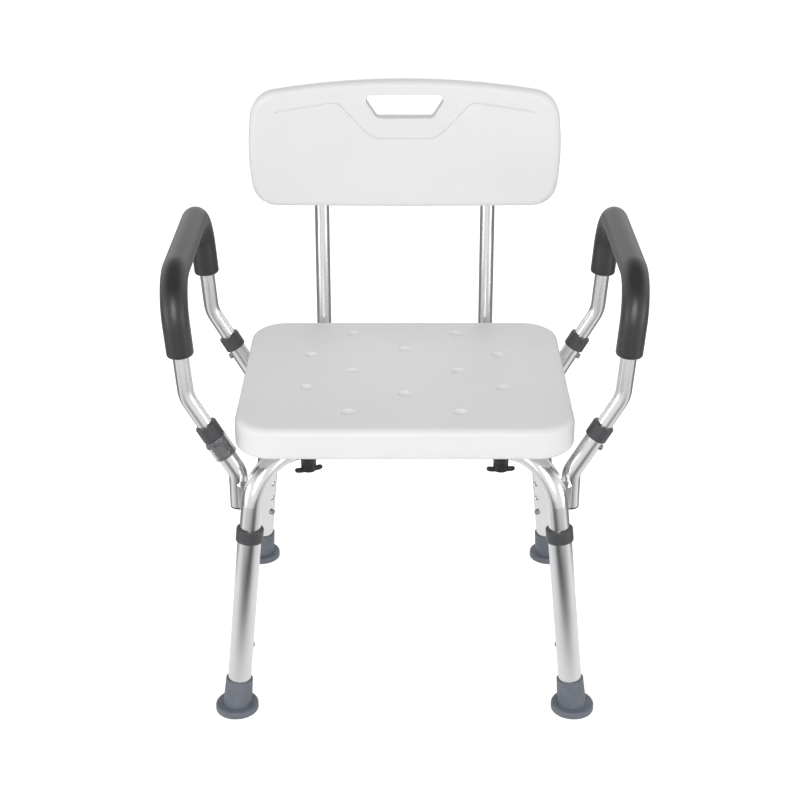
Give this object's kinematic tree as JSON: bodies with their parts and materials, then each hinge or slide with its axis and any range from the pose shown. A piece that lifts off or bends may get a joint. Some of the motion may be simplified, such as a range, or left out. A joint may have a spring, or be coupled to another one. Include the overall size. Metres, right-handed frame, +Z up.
{
  "type": "shower chair",
  "caption": "Shower chair with moulded seat, curved backrest with carrying hole, foam-gripped lift-out arms and telescoping splayed legs on rubber feet.",
  "frame": {"origin": "on the floor under the middle of the frame, legs at their lowest setting", "axes": "+Z up, -Y the way a seated person faces, +X to the right of the picture"},
  "size_m": [0.5626, 0.4237, 0.6989],
  "materials": {
    "satin_aluminium": "satin anodised",
    "white_plastic": "fine satin",
    "dark_plastic": "semi-gloss",
    "grey_rubber": "matt",
    "foam": "soft closed-cell foam",
    "steel": "plain",
    "smoky_plastic": "translucent"
  },
  "bodies": {
    "frame": {"arm_collar_front_left": "dark_plastic", "arm_collar_front_right": "dark_plastic", "arm_collar_rear_left": "dark_plastic", "arm_collar_rear_right": "dark_plastic", "arm_socket_front_left": "satin_aluminium", "arm_socket_front_right": "satin_aluminium", "arm_socket_rear_left": "satin_aluminium", "arm_socket_rear_right": "satin_aluminium", "back_tube_left": "satin_aluminium", "back_tube_plugs": "dark_plastic", "back_tube_right": "satin_aluminium", "backrest": "white_plastic", "backrest_screws": "steel", "button_sleeve": "smoky_plastic", "cross_bolt": "steel", "cross_nut": "steel", "frame_tube_a": "satin_aluminium", "frame_tube_b": "satin_aluminium", "leg_springs": "steel", "seat": "white_plastic", "seat_inserts": "steel", "socket_plugs": "dark_plastic", "socket_rivets": "steel", "socket_saddles": "satin_aluminium"},
    "leg_front_left": {"leg_tube_front_left": "satin_aluminium", "leg_collar_front_left": "dark_plastic", "foot_front_left": "grey_rubber"},
    "leg_button_front_left": {"leg_button_front_left": "steel"},
    "leg_front_right": {"leg_tube_front_right": "satin_aluminium", "leg_collar_front_right": "dark_plastic", "foot_front_right": "grey_rubber"},
    "leg_button_front_right": {"leg_button_front_right": "steel"},
    "leg_rear_left": {"leg_tube_rear_left": "satin_aluminium", "leg_collar_rear_left": "dark_plastic", "foot_rear_left": "grey_rubber"},
    "leg_button_rear_left": {"leg_button_rear_left": "steel"},
    "leg_rear_right": {"leg_tube_rear_right": "satin_aluminium", "leg_collar_rear_right": "dark_plastic", "foot_rear_right": "grey_rubber"},
    "leg_button_rear_right": {"leg_button_rear_right": "steel"},
    "arm_left": {"arm_tube_left": "satin_aluminium", "arm_grip_left": "foam", "arm_springs_left": "steel"},
    "arm_button_front_left": {"arm_button_front_left": "steel"},
    "arm_button_rear_left": {"arm_button_rear_left": "steel"},
    "arm_right": {"arm_tube_right": "satin_aluminium", "arm_grip_right": "foam", "arm_springs_right": "steel"},
    "arm_button_front_right": {"arm_button_front_right": "steel"},
    "arm_button_rear_right": {"arm_button_rear_right": "steel"},
    "wing_front_left": {"wing_knob_front_left": "dark_plastic", "wing_stud_front_left": "steel"},
    "wing_front_right": {"wing_knob_front_right": "dark_plastic", "wing_stud_front_right": "steel"},
    "wing_rear_left": {"wing_knob_rear_left": "dark_plastic", "wing_stud_rear_left": "steel"},
    "wing_rear_right": {"wing_knob_rear_right": "dark_plastic", "wing_stud_rear_right": "steel"}
  },
  "joints": [
    {"name": "leg_slide_front_left", "type": "slide", "parent": "frame", "child": "leg_front_left", "axis": [-0.0986, -0.0861, -0.9914], "range_m": [0, 0.1425]},
    {"name": "leg_button_press_front_left", "type": "slide", "parent": "frame", "child": "leg_button_front_left", "axis": [-0.7468, -0.652, 0.1309], "range_m": [0, 0.0055], "stiffness_N_per_m": 900, "deforming": ["leg_springs"]},
    {"name": "leg_slide_front_right", "type": "slide", "parent": "frame", "child": "leg_front_right", "axis": [0.0986, -0.0861, -0.9914], "range_m": [0, 0.1425]},
    {"name": "leg_button_press_front_right", "type": "slide", "parent": "frame", "child": "leg_button_front_right", "axis": [0.7468, -0.652, 0.1309], "range_m": [0, 0.0055], "stiffness_N_per_m": 900, "deforming": ["leg_springs"]},
    {"name": "leg_slide_rear_left", "type": "slide", "parent": "frame", "child": "leg_rear_left", "axis": [-0.0986, 0.0861, -0.9914], "range_m": [0, 0.1425]},
    {"name": "leg_button_press_rear_left", "type": "slide", "parent": "frame", "child": "leg_button_rear_left", "axis": [-0.7468, 0.652, 0.1309], "range_m": [0, 0.0055], "stiffness_N_per_m": 900, "deforming": ["leg_springs"]},
    {"name": "leg_slide_rear_right", "type": "slide", "parent": "frame", "child": "leg_rear_right", "axis": [0.0986, 0.0861, -0.9914], "range_m": [0, 0.1425]},
    {"name": "leg_button_press_rear_right", "type": "slide", "parent": "frame", "child": "leg_button_rear_right", "axis": [0.7468, 0.652, 0.1309], "range_m": [0, 0.0055], "stiffness_N_per_m": 900, "deforming": ["leg_springs"]},
    {"name": "arm_slide_left", "type": "slide", "parent": "frame", "child": "arm_left", "axis": [-0.4894, 0, 0.8721], "range_m": [0, 0.045], "deforming": ["arm_button_front_left", "arm_button_rear_left"]},
    {"name": "arm_button_press_front_left", "type": "slide", "parent": "arm_left", "child": "arm_button_front_left", "axis": [0.8721, 0, 0.4894], "range_m": [0, 0.0055], "stiffness_N_per_m": 900, "deforming": ["arm_springs_left"]},
    {"name": "arm_button_press_rear_left", "type": "slide", "parent": "arm_left", "child": "arm_button_rear_left", "axis": [0.8721, 0, 0.4894], "range_m": [0, 0.0055], "stiffness_N_per_m": 900, "deforming": ["arm_springs_left"]},
    {"name": "arm_slide_right", "type": "slide", "parent": "frame", "child": "arm_right", "axis": [0.4894, 0, 0.8721], "range_m": [0, 0.045], "deforming": ["arm_button_front_right", "arm_button_rear_right"]},
    {"name": "arm_button_press_front_right", "type": "slide", "parent": "arm_right", "child": "arm_button_front_right", "axis": [-0.8721, 0, 0.4894], "range_m": [0, 0.0055], "stiffness_N_per_m": 900, "deforming": ["arm_springs_right"]},
    {"name": "arm_button_press_rear_right", "type": "slide", "parent": "arm_right", "child": "arm_button_rear_right", "axis": [-0.8721, 0, 0.4894], "range_m": [0, 0.0055], "stiffness_N_per_m": 900, "deforming": ["arm_springs_right"]},
    {"name": "wing_turn_front_left", "type": "hinge", "parent": "frame", "child": "wing_front_left", "pos_m": [-0.117, -0.10215, 0.3], "axis": [0, 0, 1], "continuous": true},
    {"name": "wing_turn_front_right", "type": "hinge", "parent": "frame", "child": "wing_front_right", "pos_m": [0.117, -0.10215, 0.3], "axis": [0, 0, 1], "continuous": true},
    {"name": "wing_turn_rear_left", "type": "hinge", "parent": "frame", "child": "wing_rear_left", "pos_m": [-0.11136, 0.09723, 0.3], "axis": [0, 0, 1], "continuous": true},
    {"name": "wing_turn_rear_right", "type": "hinge", "parent": "frame", "child": "wing_rear_right", "pos_m": [0.11136, 0.09723, 0.3], "axis": [0, 0, 1], "continuous": true}
  ]
}
